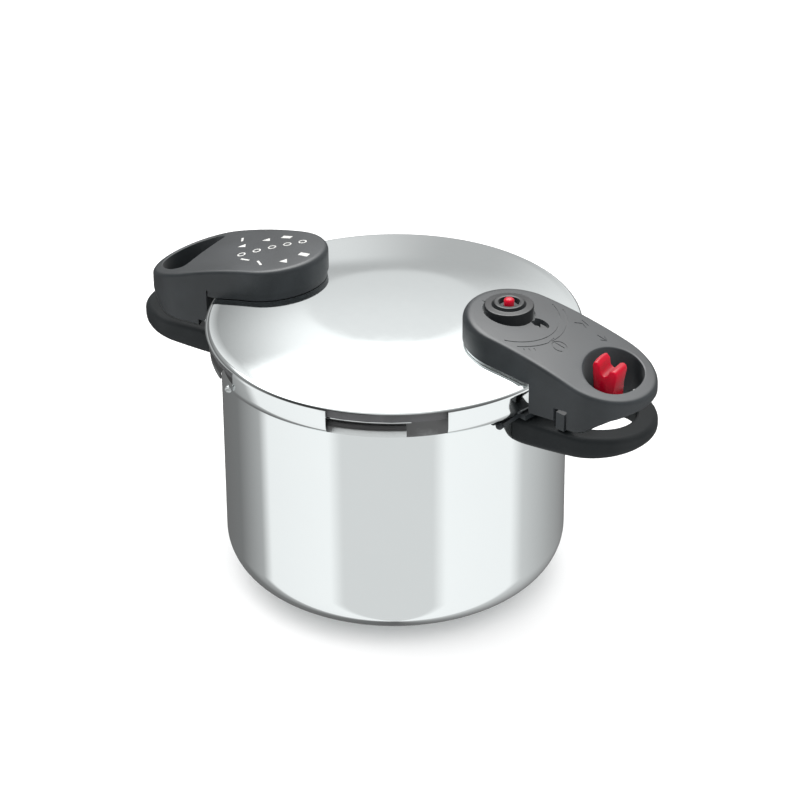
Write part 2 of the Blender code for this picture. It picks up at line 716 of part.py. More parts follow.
def lock_bolt():
    """Steel strip under the button; its hooked end slides into the keeper."""
    back = JAW_X + JAW_THICK
    side = [(JAW_X, 158.6), (back, 158.6), (back, 162.6), (163.5, 162.6)]
    side += [(163.5, 164.6), (JAW_X, 164.6)]
    place(prism("lock_bolt", side, -3.0, 3.0, "XZ"), "lock_bolt", SATIN)


def detent_spring():
    """Leaf spring that holds the lock in either position."""
    span = [129.6 + 10.4 * i / 8 for i in range(9)]
    upper = [(x, 166.0 + 1.9 * math.sin(math.pi * (x - 129.6) / 10.4)) for x in span]
    lower = [(x, z - 0.6) for x, z in reversed(upper)]
    place(prism("lock_detent_spring", upper + lower, -2.6, 2.6, "XZ"), "lock_detent_spring", SATIN)


# ---------------------------------------------------------------- assembly

def build():
    pot_body()
    base_core()
    base_cap()
    for side in (1, -1):
        pot_handle(side)
        pot_bracket(side)
        pot_screws(side)
    lid_guide_hook()
    closing_stop()
    lock_keeper()
    gasket()
    lid_shell()
    lid_stop_stud()
    lid_screws()
    valve_handle()
    plain_handle()
    handle_base("handle_base_right", 1, RIGHT_OUTLINE, RIGHT_PLATE, RIGHT_LEG, SATIN)
    handle_base("handle_base_left", -1, LEFT_OUTLINE, LEFT_PLATE, LEFT_LEG, BLACK)
    valve_body()
    valve_washer()
    hex_nut("valve_nut", VALVE_X, 0, 17.0, 5.9, 177.2, 182.6)
    selector_knob()
    pressure_indicator()
    coil("indicator_spring", VALVE_X, 0, 3.0, 0.45, 198.5, 207.9, 5, SATIN)
    safety_body()
    hex_nut("safety_valve_nut", SAFETY_X, SAFETY_Y, 11.4, 4.5, 175.4, 180.2)
    safety_plunger()
    coil("safety_spring", SAFETY_X, SAFETY_Y, 3.1, 0.5, 189.2, 195.5, 4, SATIN)
    lock_button()
    lock_bolt()
    detent_spring()


build()
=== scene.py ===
"""Looks for the pressure cooker: high-resolution pieces, materials, light and camera round the CAD frame.

Lengths in the shape functions are millimetres and angles degrees; MM scales them to metres.
+X runs towards the valve handle and +Z is up, as in the frame.
"""
import json
import math

import bmesh
import bpy
from mathutils import Matrix, Vector


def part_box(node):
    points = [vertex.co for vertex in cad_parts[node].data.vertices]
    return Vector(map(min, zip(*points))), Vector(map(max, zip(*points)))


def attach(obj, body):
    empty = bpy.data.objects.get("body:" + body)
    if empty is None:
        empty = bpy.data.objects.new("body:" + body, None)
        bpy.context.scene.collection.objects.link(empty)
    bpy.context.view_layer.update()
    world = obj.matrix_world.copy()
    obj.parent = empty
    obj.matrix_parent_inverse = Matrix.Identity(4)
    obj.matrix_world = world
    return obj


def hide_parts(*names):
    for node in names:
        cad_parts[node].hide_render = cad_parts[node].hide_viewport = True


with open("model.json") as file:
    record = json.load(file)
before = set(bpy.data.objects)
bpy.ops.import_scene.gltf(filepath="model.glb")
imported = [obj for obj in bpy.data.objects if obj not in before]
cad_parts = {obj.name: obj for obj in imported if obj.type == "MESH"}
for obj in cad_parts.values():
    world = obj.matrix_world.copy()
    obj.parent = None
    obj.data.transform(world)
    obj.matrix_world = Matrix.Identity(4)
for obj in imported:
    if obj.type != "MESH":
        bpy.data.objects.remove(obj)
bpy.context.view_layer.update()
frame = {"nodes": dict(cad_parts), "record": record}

MM = 0.001
MERGE = 0.00001
GAP = 0.3

# ---------------------------------------------------------------- sizes taken from the frame


def edges_mm(node):
    low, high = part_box(node)
    return [v / MM for v in low], [v / MM for v in high]


POT_LOW, POT_HIGH = edges_mm("pot_body")
LID_LOW, LID_HIGH = edges_mm("lid_shell")
KNOB_LOW, KNOB_HIGH = edges_mm("selector_knob")
CAP_LOW, CAP_HIGH = edges_mm("base_cap")

RIM_Z = POT_HIGH[2]
POT_FLOOR_Z = POT_LOW[2]
LID_RADIUS = LID_HIGH[0]
LID_APEX = LID_HIGH[2]
SKIRT_LOW = LID_LOW[2]
VALVE_X = (KNOB_LOW[0] + KNOB_HIGH[0]) / 2
KNOB_TOP = KNOB_HIGH[2]
BASE_RADIUS = CAP_HIGH[0]
BASE_HEIGHT = CAP_HIGH[2]

# Sizes that a box doesn't give
POT_RADIUS = 111.5
POT_WALL = 1.5
POT_CORNER = 25.0
FLANGE = 1.5
NOTCH_RADIUS = 113.2
LUG_RADIUS = 116.9
LUGS = 5
LUG_PITCH = 360.0 / LUGS
LUG_START = -84.0
LUG_END = -54.0
TONGUE_START = -79.5
TONGUE_END = -55.5
WINDOW_END = -43.3
LID_RIM_Z = 179.9
LID_DOME_RADIUS = 119.5
LID_SHEET = 1.3
LID_EDGE = 4.0
WINDOW_TOP = 178.2
WALL_LOW = 157.0
POT_HANDLE_TOP = 156.5
POT_HANDLE_LOW = 137.0
POT_HANDLE_TIP = 186.0
SAFETY_X = 102.0
SAFETY_Y = 3.0
OUTLET_X = 105.0
OUTLET_Y = 2.2
THUMB_X = 158.5
SCREW_HOLE = 2.1
LID_SCREWS = ((98.0, -20.0), (-70.0, 0.0), (-100.0, 0.0))
RIGHT_OUTLINE = (90.0, 34.3, 148.5, 36.5)
LEFT_OUTLINE = (89.0, 34.3, 142.0, 36.8)
RIGHT_LIFT = 2.6
LEFT_LIFT = 5.0
RIGHT_LEG = 123.2
LEFT_LEG = 125.5
CAMBER = 1.6
CAMBER_REACH = 35.0
PLATE_TO_LEG = 0.6
RIGHT_PLATE = 1.9
LEFT_PLATE = 4.3
OUTLET_SHADE = 13.0
# Ambient occlusion reach and thresholds for the painted shade on steel near other pieces.
SHADE_PAINT_REACH = 0.040
SHADE_PAINT_DARK = 0.93
SHADE_PAINT_CLEAR = 1.0
TONGUE_REACH = 118.85
TONGUE_LOW = 161.5
TONGUE_HIGH = 168.7
POT_SCREW_X = 121.0
POT_SCREW_YS = (-8.0, 8.0)
WELL_RADIUS = 16.6
VALVE_PORT = 6.0
SAFETY_PORT = 4.6
TOP_BEND_START = 83.0
TOP_BEND_END = 150.0
SHADED_WALL_Z = 157.2
TURN_STEPS = 192
ARC_STEPS = 44
SIDE_PARTS = 12


# ---------------------------------------------------------------- shape helpers

def link(made):
    bpy.context.scene.collection.objects.link(made)
    return made


def solid_mesh(name, build):
    bm = bmesh.new()
    build(bm)
    bmesh.ops.remove_doubles(bm, verts=bm.verts, dist=MERGE)
    bmesh.ops.recalc_face_normals(bm, faces=bm.faces)
    if bm.calc_volume(signed=True) < 0:
        bmesh.ops.reverse_faces(bm, faces=bm.faces)
    mesh = bpy.data.meshes.new(name)
    bm.to_mesh(mesh)
    bm.free()
    return link(bpy.data.objects.new(name, mesh))


def volume(made):
    bm = bmesh.new()
    bm.from_mesh(made.data)
    size = bm.calc_volume(signed=True)
    bm.free()
    return size


def arc(x, y, radius, start, end, steps):
    angles = [math.radians(start + (end - start) * i / steps) for i in range(steps + 1)]
    return [(x + radius * math.cos(a), y + radius * math.sin(a)) for a in angles]


def turned(name, profile, x=0.0, y=0.0, steps=TURN_STEPS):
    """A closed solid made by turning (radius, height) points about a vertical axis."""
    def build(bm):
        rings = []
        for radius, height in profile:
            if radius < 1e-6:
                rings.append([bm.verts.new((x * MM, y * MM, height * MM))] * steps)
                continue
            ring = []
            for i in range(steps):
                angle = math.tau * i / steps
                px = x + radius * math.cos(angle)
                py = y + radius * math.sin(angle)
                ring.append(bm.verts.new((px * MM, py * MM, height * MM)))
            rings.append(ring)
        for j, ring in enumerate(rings):
            after = rings[(j + 1) % len(rings)]
            for i in range(steps):
                k = (i + 1) % steps
                corners = [ring[i], ring[k], after[k], after[i]]
                unique = list(dict.fromkeys(corners))
                if len(unique) > 2:
                    bm.faces.new(unique)
    return solid_mesh(name, build)


def prism(name, outline, low, high, plane="XY"):
    def build(bm):
        if plane == "XY":
            start = [bm.verts.new((a * MM, b * MM, low * MM)) for a, b in outline]
            travel = Vector((0, 0, (high - low) * MM))
        else:
            start = [bm.verts.new((a * MM, low * MM, b * MM)) for a, b in outline]
            travel = Vector((0, (high - low) * MM, 0))
        face = bm.faces.new(start)
        grown = bmesh.ops.extrude_face_region(bm, geom=[face])
        moved = [item for item in grown["geom"] if isinstance(item, bmesh.types.BMVert)]
        bmesh.ops.translate(bm, verts=moved, vec=travel)
    return solid_mesh(name, build)


def box(name, low, high):
    outline = [(low[0], low[1]), (high[0], low[1]), (high[0], high[1]), (low[0], high[1])]
    return prism(name, outline, low[2], high[2])


def cylinder(name, x, y, radius, low, high, sides=64):
    return prism(name, arc(x, y, radius, 0.0, 360.0 - 360.0 / sides, sides - 1), low, high)


def sector(name, inner, outer, start, end, low, high, steps=None):
    steps = steps or max(4, int(abs(end - start) / 1.5))
    outline = arc(0, 0, outer, start, end, steps) + arc(0, 0, inner, end, start, steps)
    return prism(name, outline, low, high)


def between(start, end, parts):
    steps = [i / parts for i in range(1, parts)]
    return [(start[0] + (end[0] - start[0]) * s, start[1] + (end[1] - start[1]) * s) for s in steps]


def stadium(inner_x, inner_radius, outer_x, outer_radius, steps=ARC_STEPS):
    lean = math.degrees(math.asin((outer_radius - inner_radius) / (outer_x - inner_x)))
    tip = arc(outer_x, 0, outer_radius, -90 - lean, 90 + lean, steps)
    root = arc(inner_x, 0, inner_radius, 90 + lean, 270 - lean, steps)
    return tip + between(tip[-1], root[0], SIDE_PARTS) + root + between(root[-1], tip[0], SIDE_PARTS)


def ellipse(x, y, half_x, half_y, steps=56):
    angles = [math.tau * i / steps for i in range(steps)]
    return [(x + half_x * math.cos(a), y + half_y * math.sin(a)) for a in angles]


def flipped(outline):
    return [(-x, y) for x, y in outline]


def apply_modifiers(made):
    """Replace the mesh by its modified one, so nothing depends on the cutters."""
    bpy.context.view_layer.update()
    graph = bpy.context.evaluated_depsgraph_get()
    mesh = bpy.data.meshes.new_from_object(made.evaluated_get(graph))
    made.modifiers.clear()
    made.data = mesh
    return made


def combine(made, other, operation="DIFFERENCE", crossing=False):
    """Cut, join or intersect two solids, and stop if the result can't be right."""
    before = volume(made)
    cutter = volume(other)
    step = made.modifiers.new(other.name, "BOOLEAN")
    step.operation = operation
    step.object = other
    step.solver = "EXACT"
    step.use_self = crossing
    apply_modifiers(made)
    after = volume(made)
    slack = 1e-10
    limits = {
        "DIFFERENCE": (before - cutter, before),
        "UNION": (before, before + cutter),
        "INTERSECT": (0.0, min(before, cutter)),
    }[operation]
    if after <= 0 or not limits[0] - slack <= after <= limits[1] + slack:
        raise RuntimeError(f"{made.name}: {operation} with {other.name} gave {after * 1e9:.0f} mm3")
    bpy.data.objects.remove(other, do_unlink=True)
    return made


def smooth(made, angle=32.0):
    made.data.shade_smooth()
    made.data.set_sharp_from_angle(angle=math.radians(angle))
    return made


# ---------------------------------------------------------------- lid surface and handle lines

def lid_top(radius):
    reach = min(radius, LID_DOME_RADIUS) / LID_DOME_RADIUS
    return LID_RIM_Z + (LID_APEX - LID_RIM_Z) * (1.0 - reach * reach)


def dome_points(lift, reach, steps=24):
    return [(reach * i / steps, lid_top(reach * i / steps) + lift) for i in range(steps + 1)]


def lid_envelope(name, lift, reach):
    profile = dome_points(lift, LID_DOME_RADIUS)
    profile += [(reach, lid_top(LID_DOME_RADIUS) + lift), (reach, 140.0), (0.0, 140.0)]
    return turned(name, profile)


def valve_handle_top(x):
    bend = min(x, TOP_BEND_END) - TOP_BEND_START
    return 208.5 - 0.164 * bend - 0.0017 * bend ** 2 - 0.35 * max(0.0, x - TOP_BEND_END)


def plain_handle_top(x):
    return 208.1 - 0.147 * (x - 83.0) - 0.0018 * (x - 83.0) ** 2


def camber(y):
    """How far a handle's top has fallen towards its long sides."""
    return CAMBER * (y / CAMBER_REACH) ** 2


def handle_silhouette(top, start, end, crown, sink=0.0):
    shoulder = top(start + crown)
    side = [(start - 1, shoulder - crown - sink)]
    for step in range(13):
        angle = math.radians(90.0 * step / 12)
        x = start + crown - crown * math.cos(angle)
        side.append((x, shoulder - crown + crown * math.sin(angle) - sink))
    steps = 30
    for step in range(1, steps + 1):
        x = start + crown + (end + 1 - start - crown) * step / steps
        side.append((x, top(x) - sink))
    return side


def tip_underside(tip_rise):
    rise = [(190.0, WALL_LOW + tip_rise), (171.0, WALL_LOW + 10.0), (163.0, WALL_LOW + 6.0)]
    return rise + [(157.0, WALL_LOW + 1.5), (152.0, WALL_LOW)]


# ---------------------------------------------------------------- material helpers

class Nodes:
    """Short calls for building one node tree."""

    def __init__(self, tree):
        self.tree = tree
        self.tree.nodes.clear()

    def add(self, kind, inputs=None, **settings):
        node = self.tree.nodes.new(kind)
        for key, value in settings.items():
            setattr(node, key, value)
        for key, value in (inputs or {}).items():
            self.feed(node, key, value)
        return node

    def feed(self, node, key, value):
        socket = node.inputs[key]
        if isinstance(value, bpy.types.NodeSocket):
            self.tree.links.new(value, socket)
        else:
            socket.default_value = value

    def math(self, operation, a, b=0.0, clamp=False):
        node = self.add("ShaderNodeMath", {0: a, 1: b}, operation=operation, use_clamp=clamp)
        return node.outputs[0]

    def noise(self, vector, scale, detail=3.0, roughness=0.5):
        inputs = {"Vector": vector, "Scale": scale, "Detail": detail, "Roughness": roughness}
        return self.add("ShaderNodeTexNoise", inputs).outputs["Fac"]

    def span(self, value, low, high, to_low=0.0, to_high=1.0):
        inputs = {"Value": value, "From Min": low, "From Max": high,
                  "To Min": to_low, "To Max": to_high}
        node = self.add("ShaderNodeMapRange", inputs, interpolation_type="SMOOTHSTEP")
        return node.outputs["Result"]

    def share(self, value, low, high):
        inputs = {"Value": value, "From Min": low, "From Max": high}
        return self.add("ShaderNodeMapRange", inputs).outputs["Result"]

    def stretch(self, vector, scale):
        inputs = {"Vector": vector, "Scale": scale}
        return self.add("ShaderNodeMapping", inputs).outputs["Vector"]

    def mix(self, factor, a, b):
        node = self.add("ShaderNodeMix", data_type="RGBA")
        self.feed(node, 0, factor)
        self.feed(node, 6, a)
        self.feed(node, 7, b)
        return node.outputs[2]


def rgb(r, g, b):
    return (r, g, b, 1.0)


def new_material(name):
    made = bpy.data.materials.new(name)
    made.use_nodes = True
    nodes = Nodes(made.node_tree)
    shader = nodes.add("ShaderNodeBsdfPrincipled")
    out = nodes.add("ShaderNodeOutputMaterial")
    nodes.tree.links.new(shader.outputs[0], out.inputs["Surface"])
    place = nodes.add("ShaderNodeTexCoord").outputs["Object"]
    return made, nodes, shader, place


def bump(nodes, shader, height, strength, distance):
    node = nodes.add("ShaderNodeBump", {"Height": height, "Strength": strength, "Distance": distance})
    nodes.tree.links.new(node.outputs[0], shader.inputs["Normal"])


def steel(name, tone, rough, rough_spread, grain, grain_scale, bump_strength):
    """Stainless steel with fine turned or drawn grain and faint handling marks."""
    made, nodes, shader, place = new_material(name)
    shader.inputs["Metallic"].default_value = 1.0
    lines = nodes.noise(nodes.stretch(place, grain), grain_scale, 2.0, 0.6)
    cloud = nodes.noise(place, 22.0, 4.0, 0.55)
    both = nodes.math("MULTIPLY", nodes.math("ADD", lines, cloud), 0.5)
    dark = rgb(tone * 0.905, tone * 0.95, tone * 0.955)
    nodes.feed(shader, "Base Color", nodes.mix(both, dark, rgb(tone * 0.955, tone, tone)))
    spread = nodes.span(both, 0.25, 0.75, rough - rough_spread, rough + rough_spread)
    nodes.feed(shader, "Roughness", spread)
    bump(nodes, shader, lines, bump_strength, 0.0001)
    return made


def steel_with_painted_shade(name, dark, open_tone, dark_rough, open_rough):
    """Steel with painted shade: its colour turns dark and its finish dull where ambient occlusion finds
    other pieces close in front of it.
    """
    made, nodes, shader, place = new_material(name)
    shader.inputs["Metallic"].default_value = 1.0
    lines = nodes.noise(nodes.stretch(place, (1, 1, 12)), 240.0, 2.0, 0.6)
    # Ambient occlusion paints shade: where pieces stand close in front, the colour turns to the dark tone
    # and the finish duller.
    shelter = nodes.add("ShaderNodeAmbientOcclusion", {"Distance": SHADE_PAINT_REACH}, samples=16).outputs["AO"]
    clear = nodes.span(shelter, SHADE_PAINT_DARK, SHADE_PAINT_CLEAR)
    deep = nodes.mix(lines, rgb(dark * 0.92, dark * 0.95, dark * 0.96), rgb(dark, dark, dark))
    pale = rgb(open_tone * 0.955, open_tone, open_tone)
    nodes.feed(shader, "Base Color", nodes.mix(clear, deep, pale))
    rough = nodes.span(shelter, SHADE_PAINT_DARK, SHADE_PAINT_CLEAR, dark_rough, open_rough)
    nodes.feed(shader, "Roughness", rough)
    bump(nodes, shader, lines, 0.03, 0.0001)
    return made


def plastic(name, colour, sheen_colour, rough, grain=900.0, strength=0.12, shine=0.4, top_shine=0.4):
    """Moulded phenolic with a spark-eroded grain; top_shine is the gloss of faces that look upwards."""
    made, nodes, shader, place = new_material(name)
    fine = nodes.noise(place, grain, 2.0, 0.6)
    cloud = nodes.noise(place, 30.0, 4.0, 0.5)
    nodes.feed(shader, "Base Color", nodes.mix(nodes.span(cloud, 0.35, 0.7), colour, sheen_colour))
    nodes.feed(shader, "Roughness", nodes.span(cloud, 0.3, 0.7, rough - 0.04, rough + 0.05))
    facing = nodes.add("ShaderNodeTexCoord").outputs["Normal"]
    facing = nodes.add("ShaderNodeSeparateXYZ", {0: facing}).outputs[2]
    nodes.feed(shader, "Specular IOR Level", nodes.span(facing, 0.70, 0.95, shine, top_shine))
    bump(nodes, shader, fine, strength, 0.00012)
    return made


# ---------------------------------------------------------------- lofted shapes

def close_ring(bm, ring, fold):
    """Close a ring with one face, or with strips between its two mirrored halves."""
    if fold is None:
        bm.faces.new(ring)
        return
    count = len(ring)
    for i in range(fold // 2, fold // 2 + count // 2):
        corners = (i, i + 1, fold - i - 1, fold - i)
        unique = list(dict.fromkeys(ring[c % count] for c in corners))
        if len(unique) > 2:
            bm.faces.new(unique)


def add_shell(bm, rings, fold):
    """Add one closed shell of rings that have the same length."""
    made = [[bm.verts.new(Vector(point) * MM) for point in ring] for ring in rings]
    count = len(made[0])
    for low, high in zip(made, made[1:]):
        for i in range(count):
            k = (i + 1) % count
            bm.faces.new((low[i], low[k], high[k], high[i]))
    close_ring(bm, made[0], fold)
    close_ring(bm, made[-1], fold)


def shells_mesh(name, shells, fold=None):
    """One mesh of closed shells, each a list of rings of points that have the same length."""
    total = bmesh.new()
    for rings in shells:
        bm = bmesh.new()
        add_shell(bm, rings, fold)
        bmesh.ops.recalc_face_normals(bm, faces=bm.faces)
        if bm.calc_volume(signed=True) < 0:
            bmesh.ops.reverse_faces(bm, faces=bm.faces)
        mesh = bpy.data.meshes.new(name)
        bm.to_mesh(mesh)
        bm.free()
        total.from_mesh(mesh)
        bpy.data.meshes.remove(mesh)
    mesh = bpy.data.meshes.new(name)
    total.to_mesh(mesh)
    total.free()
    return link(bpy.data.objects.new(name, mesh))


def corner_drop(inset, radius):
    """How far a rounded edge has fallen at an inset from the side."""
    if inset >= radius:
        return 0.0
    return radius - math.sqrt(radius * radius - (radius - inset) ** 2)


def handle_body(name, side, outline, top, bottom, edge, crown, low_edge):
    """A handle with rounded upper and lower edges, as rings of a shrinking outline."""
    root_x, root_r, tip_x, tip_r = outline

    def upper_edge(x):
        share = min(1.0, max(0.0, (root_x - x) / root_r))
        return edge + (crown - edge) * share

    def ring(inset, height):
        points = stadium(root_x, root_r - inset, tip_x, tip_r - inset)
        return [(x * side, y, height(x, y, inset)) for x, y in points]

    def upper(x, y, inset):
        return top(x) - camber(y) - corner_drop(inset, upper_edge(x))

    def lower(x, y, inset):
        return bottom(x) + corner_drop(inset, low_edge)

    for x in (root_x - root_r, tip_x + tip_r):
        if top(x) - upper_edge(x) <= bottom(x) + low_edge:
            raise RuntimeError(f"{name}: its rounded edges meet at x {x:.0f} mm")
    most = max(edge, crown)
    deepest = min(root_r, tip_r) - 1.5
    turns = [math.radians(90.0 * i / 9) for i in range(10)]
    top_insets = [most * (1.0 - math.cos(a)) for a in turns]
    low_insets = [low_edge * (1.0 - math.cos(a)) for a in turns[::2]]
    spread = [i / 5 for i in range(1, 6)]
    top_insets += [most + (deepest - most) * s for s in spread]
    low_insets += [low_edge + (deepest - low_edge) * s for s in spread]
    rings = [ring(d, lower) for d in reversed(low_insets)]
    for share in (0.25, 0.5, 0.75):
        rings.append(ring(0.0, lambda x, y, d, s=share: lower(x, y, d) * (1 - s) + upper(x, y, d) * s))
    rings += [ring(d, upper) for d in top_insets]
    return shells_mesh(name, [rings], ARC_STEPS)


def flared_hole(name, side, grown, top, bottom, lip):
    """A cutter for a hole whose upper and lower rims are rounded."""
    turns = [math.radians(90.0 * i / 6) for i in range(7)]
    rings = []

    def ring(grow, height):
        return [(x * side, y, height(x, y)) for x, y in grown(grow)]

    rings.append(ring(lip, lambda x, y: bottom(x) - 4.0))
    for a in reversed(turns):
        depth = lip - lip * math.sin(a)
        rings.append(ring(lip - lip * math.cos(a), lambda x, y, d=depth: bottom(x) + d))
    for a in turns:
        depth = lip - lip * math.sin(a)
        rings.append(ring(lip - lip * math.cos(a), lambda x, y, d=depth: top(x) - camber(y) - d))
    rings.append(ring(lip, lambda x, y: top(x) + 6.0))
    return shells_mesh(name, [rings])


def stroke(points, width):
    """The outline of a pen stroke along an open line."""
    left, right = [], []
    for i, (x, y) in enumerate(points):
        before = points[max(0, i - 1)]
        after = points[min(len(points) - 1, i + 1)]
        dx, dy = after[0] - before[0], after[1] - before[1]
        size = math.hypot(dx, dy)
        nx, ny = -dy / size * width / 2, dx / size * width / 2
        left.append((x + nx, y + ny))
        right.append((x - nx, y - ny))
    return left + right[::-1]


def on_surface(outlines, side, top, low, high):
    """Shells that follow a handle's top, from low to high relative to it."""
    shells = []
    for outline in outlines:
        shells.append([[(x * side, y, top(x) - camber(y) + lift) for x, y in outline]
                       for lift in (low, high)])
    return shells


def loop_line(x, y, radius, start=0.0, sweep=348.0, steps=26):
    return arc(x, y, radius, start, start + sweep, steps)


# ---------------------------------------------------------------- finish of a piece

BODY_OF = {}
for body_name, members in frame["record"]["behaviour"]["bodies"].items():
    for member in members:
        BODY_OF[member] = body_name
SLOT_OF = {row["node"]: row["material_slot"] for row in frame["record"]["subparts"]}


def stand_for(made, node, material, angle=32.0, second=None, takes_second=None, mirrored=True):
    """Let a piece take the place of a CAD node; takes_second picks the faces with the second material."""
    made.name = f"visual_{node}"
    made.data.name = made.name
    made.data.materials.clear()
    made.data.materials.append(material)
    for face in made.data.polygons:
        face.material_index = 0
    if second:
        made.data.materials.append(second)
        for face in made.data.polygons:
            face.material_index = int(takes_second(face.center / MM, face.normal))
    made.visible_glossy = mirrored
    smooth(made, angle)
    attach(made, BODY_OF[node])
    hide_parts(node)
    return made


def extra(made, name, body, material, angle=32.0):
    """Give a piece that has no CAD node its material and body, and keep it out of reflections."""
    made.name = name
    made.data.materials.clear()
    made.data.materials.append(material)
    made.visible_glossy = False
    smooth(made, angle)
    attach(made, body)
    return made


# ---------------------------------------------------------------- pot

def pot_piece():
    corner_x = POT_RADIUS - POT_CORNER
    corner_z = POT_FLOOR_Z + POT_CORNER
    low = RIM_Z - FLANGE
    profile = [(LUG_RADIUS, RIM_Z - 0.4), (LUG_RADIUS, low + 0.3), (LUG_RADIUS - 0.3, low)]
    profile += [(POT_RADIUS + 1.4, low), (POT_RADIUS + 0.4, low - 0.4), (POT_RADIUS, low - 1.4)]
    profile += [(POT_RADIUS, SHADED_WALL_Z)]
    profile += arc(corner_x, corner_z, POT_CORNER, 0, -90, 28)
    profile += [(0.0, POT_FLOOR_Z), (0.0, POT_FLOOR_Z + POT_WALL)]
    profile += arc(corner_x, corner_z, POT_CORNER - POT_WALL, -90, 0, 28)
    profile += [(POT_RADIUS - POT_WALL, low - 1.0), (POT_RADIUS - 1.1, RIM_Z - 0.5)]
    profile += [(POT_RADIUS - 0.4, RIM_Z), (LUG_RADIUS - 0.4, RIM_Z)]
    made = turned("pot", profile)
    cuts = []
    for i in range(LUGS):
        start = LUG_END + i * LUG_PITCH
        end = LUG_START + (i + 1) * LUG_PITCH
        outline = arc(0, 0, 125.0, start, end, 30) + arc(0, 0, NOTCH_RADIUS, end, start, 30)
        cuts.append([[(x, y, z) for x, y in outline] for z in (low - 3, RIM_Z + 3)])
    combine(made, shells_mesh("notches", cuts))
    return made


def base_cap_piece():
    sheet = 0.8
    profile = [(BASE_RADIUS - 0.3, BASE_HEIGHT), (BASE_RADIUS, BASE_HEIGHT - 0.4)]
    profile += arc(BASE_RADIUS - 2, 2, 2, 0, -90, 8) + [(30.0, 0), (0, 0), (0, sheet)]
    profile += [(BASE_RADIUS - 2, sheet), (BASE_RADIUS - sheet, 2), (BASE_RADIUS - sheet, BASE_HEIGHT)]
    return turned("cap", profile)


# ---------------------------------------------------------------- lid

def tongue_shell(turn):
    """One bayonet tongue: the sheet bends in and up under the pot's lug."""
    section = [(117.1, 161.2), (118.4, 161.2), (118.9, 165.4), (118.2, 166.9), (116.6, 168.5)]
    section += [(114.9, 168.5), (116.9, 166.3), (117.5, 165.3)]
    rings = []
    steps = 26
    start = TONGUE_START - 2.7 + turn
    end = TONGUE_END + turn
    for i in range(steps + 1):
        angle = math.radians(start + (end - start) * i / steps)
        rings.append([(r * math.cos(angle), r * math.sin(angle), z) for r, z in section])
    return rings


def lid_piece():
    shoulder = LID_RADIUS - LID_EDGE
    edge = arc(shoulder, lid_top(shoulder) - LID_EDGE, LID_EDGE, 90, 0, 14)
    inner_skirt = LID_RADIUS - 1.2
    profile = dome_points(0.0, shoulder)[:-1] + edge
    profile += [(LID_RADIUS, 167.0), (121.2, 165.2), (120.5, 163.4), (119.4, 161.7)]
    profile += [(118.7, SKIRT_LOW), (117.5, SKIRT_LOW), (118.4, 162.4), (119.6, 164.4)]
    profile += [(inner_skirt, 167.2), (inner_skirt, 177.4), (LID_RADIUS - 2.2, 178.4)]
    profile += [(r, z) for r, z in reversed(dome_points(-LID_SHEET, shoulder - 0.6))]
    made = turned("lid", profile)
    windows = []
    for i in range(LUGS):
        turn = i * LUG_PITCH
        start, end = TONGUE_START + turn, WINDOW_END + turn
        outline = arc(0, 0, 126, start, end, 30) + arc(0, 0, 116.2, end, start, 30)
        windows.append([[(x, y, z) for x, y in outline] for z in (SKIRT_LOW - 3, WINDOW_TOP)])
    combine(made, shells_mesh("windows", windows))
    combine(made, shells_mesh("tongues", [tongue_shell(i * LUG_PITCH) for i in range(LUGS)]), "UNION")
    combine(made, cylinder("valve_port", VALVE_X, 0, VALVE_PORT, 170, 200))
    combine(made, cylinder("safety_port", SAFETY_X, SAFETY_Y, SAFETY_PORT, 170, 200))
    for x, y in LID_SCREWS:
        combine(made, cylinder("screw_port", x, y, SCREW_HOLE, 170, 200, 32))
    return made


# ---------------------------------------------------------------- lid handles

def lid_handle(name, side, outline, top, tip_rise, edge, crown, lift, leg_radius, grown, lip):
    """Hollow lid handle: a pod on the lid, a leg outside the rim and a looped tip."""
    under = sorted(tip_underside(tip_rise))

    def bottom(x):
        if x <= under[0][0]:
            return WALL_LOW
        for (x0, z0), (x1, z1) in zip(under, under[1:]):
            if x <= x1:
                return z0 + (z1 - z0) * (x - x0) / (x1 - x0)
        return under[-1][1]

    made = handle_body(name, side, outline, top, bottom, edge, crown, 2.4)
    combine(made, flared_hole(f"{name}_hole", side, grown, top, bottom, lip))
    combine(made, lid_envelope(f"{name}_lid", lift, leg_radius))
    start = outline[0] - outline[1]
    pod = stadium(outline[0], outline[1] - 3.2, outline[2], outline[3] - 3.2)
    hollow = handle_silhouette(top, start + 3.2, 119.0, crown, 3.4) + [(120.0, 160.0)]
    hollow += [(start + 2.2, 160.0)]
    if side < 0:
        pod, hollow = flipped(pod), flipped(hollow)
    inside = prism(f"{name}_pod", pod, 150, 222)
    combine(inside, prism(f"{name}_pod_side", hollow, -60, 60, "XZ"), "INTERSECT")
    combine(made, inside)
    return made


def valve_handle_marks():
    """Engraved arcs round the selector, a pot sign and two small direction signs."""
    lines = [stroke(arc(VALVE_X, 0, 32.0, -66, 60, 60), 0.9)]
    lines.append(stroke(arc(VALVE_X, 0, 36.4, -53, 50, 56), 0.9))
    for angle in (-47, -42, -37):
        a = math.radians(angle)
        ray = [(VALVE_X + r * math.cos(a), r * math.sin(a)) for r in (38.2, 40.4)]
        lines.append(stroke(ray, 0.8))
    icon_x, icon_y = 125.0, -9.0
    lines.append(stroke(loop_line(icon_x, icon_y, 4.6, 20.0, 300.0), 0.8))
    lines.append(stroke([(icon_x - 6.4, icon_y - 4.4), (icon_x - 6.4, icon_y + 4.4)], 0.8))
    lines.append(stroke([(icon_x - 4.0, icon_y + 1.0), (icon_x + 3.0, icon_y + 1.0)], 0.7))
    lines.append(stroke([(119.4, 21.0), (123.2, 24.4), (127.0, 22.2)], 0.8))
    lines.append(stroke([(121.0, 27.6), (126.8, 25.8)], 0.7))
    lines.append(stroke([(135.2, 21.8), (141.4, 21.8)], 0.8))
    lines.append(stroke([(139.0, 24.4), (142.0, 21.8), (139.0, 19.2)], 0.7))
    return lines


